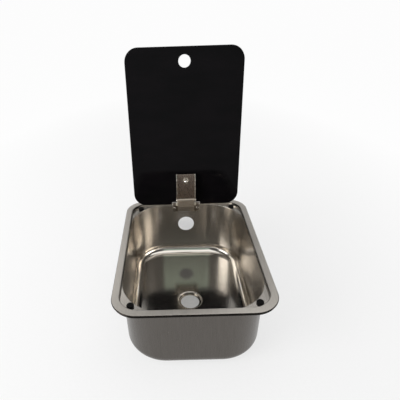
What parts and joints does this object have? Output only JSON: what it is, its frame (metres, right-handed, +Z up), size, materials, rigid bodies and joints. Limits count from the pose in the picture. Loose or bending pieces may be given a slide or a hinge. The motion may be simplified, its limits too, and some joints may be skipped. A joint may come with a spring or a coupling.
{
  "type": "inset caravan sink with hinged glass lid",
  "caption": "Small rectangular inset sink pressed in stainless steel, with a drain hole, a hole in the back wall and a black glass lid that hinges up from the back.",
  "frame": {"origin": "middle of the worktop cut-out, on the worktop's surface, which is the underside of the rim's gasket", "axes": "+X to the right and +Y to the back, where the lid is hinged, both as seen by a person at the sink; +Z up"},
  "size_m": [0.28, 0.3953, 0.4867],
  "materials": {
    "pressed_stainless": "satin, polished inside",
    "hinge_stainless": "satin",
    "bracket_stainless": "satin",
    "rivet_stainless": "polished",
    "black_glass": "gloss, opaque black",
    "foam_rubber": "matte",
    "bumper_rubber": "matte",
    "pad_rubber": "matte",
    "nylon": "satin"
  },
  "bodies": {
    "sink": {"sink_bowl": "pressed_stainless", "rim_gasket": "foam_rubber", "bumper_front_left": "bumper_rubber", "bumper_front_right": "bumper_rubber", "bumper_back_left": "bumper_rubber", "bumper_back_right": "bumper_rubber", "hinge_base": "hinge_stainless", "base_rivet_left": "rivet_stainless", "base_rivet_right": "rivet_stainless", "hinge_pin": "rivet_stainless", "pin_washer_left": "nylon", "pin_washer_right": "nylon"},
    "lid": {"glass_lid": "black_glass", "lid_bracket": "bracket_stainless", "bracket_pad": "pad_rubber", "hinge_cover": "hinge_stainless", "cover_pin": "rivet_stainless", "pin_spacer_left": "nylon", "pin_spacer_right": "nylon", "clamp_screw": "rivet_stainless", "screw_pad": "pad_rubber", "clamp_bush": "nylon", "nut_washer": "rivet_stainless", "cap_nut": "rivet_stainless"}
  },
  "joints": [
    {"name": "lid_hinge", "type": "hinge", "parent": "sink", "child": "lid", "pos_m": [0, 0.1711, 0.006], "axis": [1, 0, 0], "range_deg": [0, 95.4]}
  ]
}
